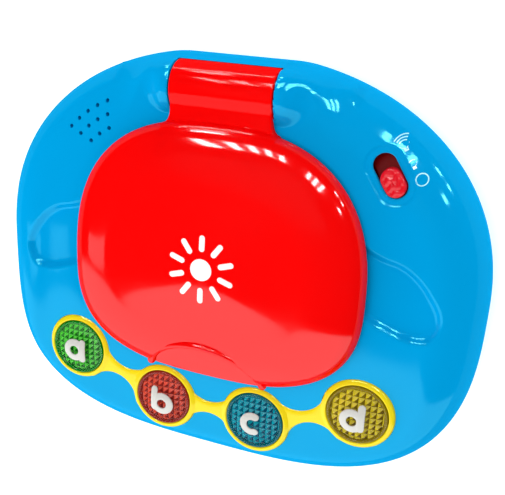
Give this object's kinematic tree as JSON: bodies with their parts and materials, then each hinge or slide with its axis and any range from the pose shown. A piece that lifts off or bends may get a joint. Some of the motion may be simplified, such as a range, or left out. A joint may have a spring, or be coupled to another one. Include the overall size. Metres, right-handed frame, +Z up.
{
  "type": "toy laptop computer",
  "caption": "Pebble-shaped toy laptop with a domed hinged lid, a linked row of domed light-up buttons, a volume slide switch and a keypad under the lid.",
  "frame": {"origin": "on the surface it stands on, under the middle of the body", "axes": "+X to the right as seen by the child, +Y towards the hinge at the back, +Z up"},
  "size_m": [0.238, 0.192, 0.0505],
  "materials": {
    "blue_shell": "glossy moulded ABS, sky blue",
    "red_lid": "glossy moulded ABS, bright red",
    "yellow_bezel": "glossy moulded ABS, lemon yellow",
    "red_knob": "satin moulded plastic, red",
    "dark_red_plate": "matt moulded plastic, dark red",
    "green_cap": "translucent tinted plastic, green",
    "brown_cap": "translucent tinted plastic, red brown",
    "teal_cap": "translucent tinted plastic, teal",
    "olive_cap": "translucent tinted plastic, olive yellow",
    "white_panel": "glossy moulded ABS, white",
    "mirror_face": "safe acrylic mirror",
    "key_yellow": "glossy moulded plastic, yellow",
    "key_orange": "glossy moulded plastic, orange",
    "key_green": "glossy moulded plastic, green",
    "steel": "bright zinc-plated steel",
    "contact_metal": "nickel-plated spring steel",
    "board": "green solder mask on glass fibre",
    "black_plastic": "black plastic",
    "grey_rubber": "soft conductive rubber",
    "led_resin": "clear resin",
    "battery_jacket": "printed battery jacket, plain"
  },
  "bodies": {
    "base": {"base_bottom_shell": "blue_shell", "base_top_shell": "blue_shell", "button_bezel": "yellow_bezel", "hinge_pin": "steel", "case_screws": "steel", "battery_door": "blue_shell", "battery_door_screw": "steel", "battery_1": "battery_jacket", "battery_2": "battery_jacket", "battery_3": "battery_jacket", "battery_contacts": "contact_metal", "main_circuit_board": "board", "board_screws": "steel", "sound_chip": "black_plastic", "button_leds": "led_resin", "speaker_frame": "black_plastic", "speaker_magnet": "steel", "switch_board": "board", "slide_switch_body": "steel", "switch_guide_plate": "dark_red_plate", "key_deck": "white_panel", "key_membrane": "grey_rubber"},
    "lid": {"lid_outer_shell": "red_lid", "lid_inner_panel": "white_panel", "lid_mirror": "mirror_face", "lid_screws": "steel"},
    "switch_knob": {"power_switch_knob": "red_knob"},
    "button_a": {"button_cap_a": "green_cap", "button_prism_a": "green_cap", "contact_ring_a": "grey_rubber"},
    "button_b": {"button_cap_b": "brown_cap", "button_prism_b": "brown_cap", "contact_ring_b": "grey_rubber"},
    "button_c": {"button_cap_c": "teal_cap", "button_prism_c": "teal_cap", "contact_ring_c": "grey_rubber"},
    "button_d": {"button_cap_d": "olive_cap", "button_prism_d": "olive_cap", "contact_ring_d": "grey_rubber"},
    "key_1_body": {"key_1": "key_yellow"},
    "key_2_body": {"key_2": "key_orange"},
    "key_3_body": {"key_3": "key_green"},
    "key_4_body": {"key_4": "key_green"},
    "key_5_body": {"key_5": "key_yellow"},
    "key_6_body": {"key_6": "key_orange"}
  },
  "joints": [
    {"name": "lid_hinge", "type": "hinge", "parent": "base", "child": "lid", "pos_m": [0, 0.0822, 0.0276], "axis": [-1, 0, 0], "range_deg": [0, 115]},
    {"name": "switch_slide", "type": "slide", "parent": "base", "child": "switch_knob", "axis": [-0.5592, 0.829, 0], "range_m": [0, 0.006]},
    {"name": "button_a_press", "type": "slide", "parent": "base", "child": "button_a", "axis": [0, 0, -1], "range_m": [0, 0.0017], "stiffness_N_per_m": 400, "springref_m": -0.001},
    {"name": "button_b_press", "type": "slide", "parent": "base", "child": "button_b", "axis": [0, 0, -1], "range_m": [0, 0.0017], "stiffness_N_per_m": 400, "springref_m": -0.001},
    {"name": "button_c_press", "type": "slide", "parent": "base", "child": "button_c", "axis": [0, 0, -1], "range_m": [0, 0.0017], "stiffness_N_per_m": 400, "springref_m": -0.001},
    {"name": "button_d_press", "type": "slide", "parent": "base", "child": "button_d", "axis": [0, 0, -1], "range_m": [0, 0.0017], "stiffness_N_per_m": 400, "springref_m": -0.001},
    {"name": "key_1_press", "type": "slide", "parent": "base", "child": "key_1_body", "axis": [0, 0, -1], "range_m": [0, 0.0018], "stiffness_N_per_m": 300, "springref_m": -0.001},
    {"name": "key_2_press", "type": "slide", "parent": "base", "child": "key_2_body", "axis": [0, 0, -1], "range_m": [0, 0.0018], "stiffness_N_per_m": 300, "springref_m": -0.001},
    {"name": "key_3_press", "type": "slide", "parent": "base", "child": "key_3_body", "axis": [0, 0, -1], "range_m": [0, 0.0018], "stiffness_N_per_m": 300, "springref_m": -0.001},
    {"name": "key_4_press", "type": "slide", "parent": "base", "child": "key_4_body", "axis": [0, 0, -1], "range_m": [0, 0.0018], "stiffness_N_per_m": 300, "springref_m": -0.001},
    {"name": "key_5_press", "type": "slide", "parent": "base", "child": "key_5_body", "axis": [0, 0, -1], "range_m": [0, 0.0018], "stiffness_N_per_m": 300, "springref_m": -0.001},
    {"name": "key_6_press", "type": "slide", "parent": "base", "child": "key_6_body", "axis": [0, 0, -1], "range_m": [0, 0.0018], "stiffness_N_per_m": 300, "springref_m": -0.001}
  ]
}
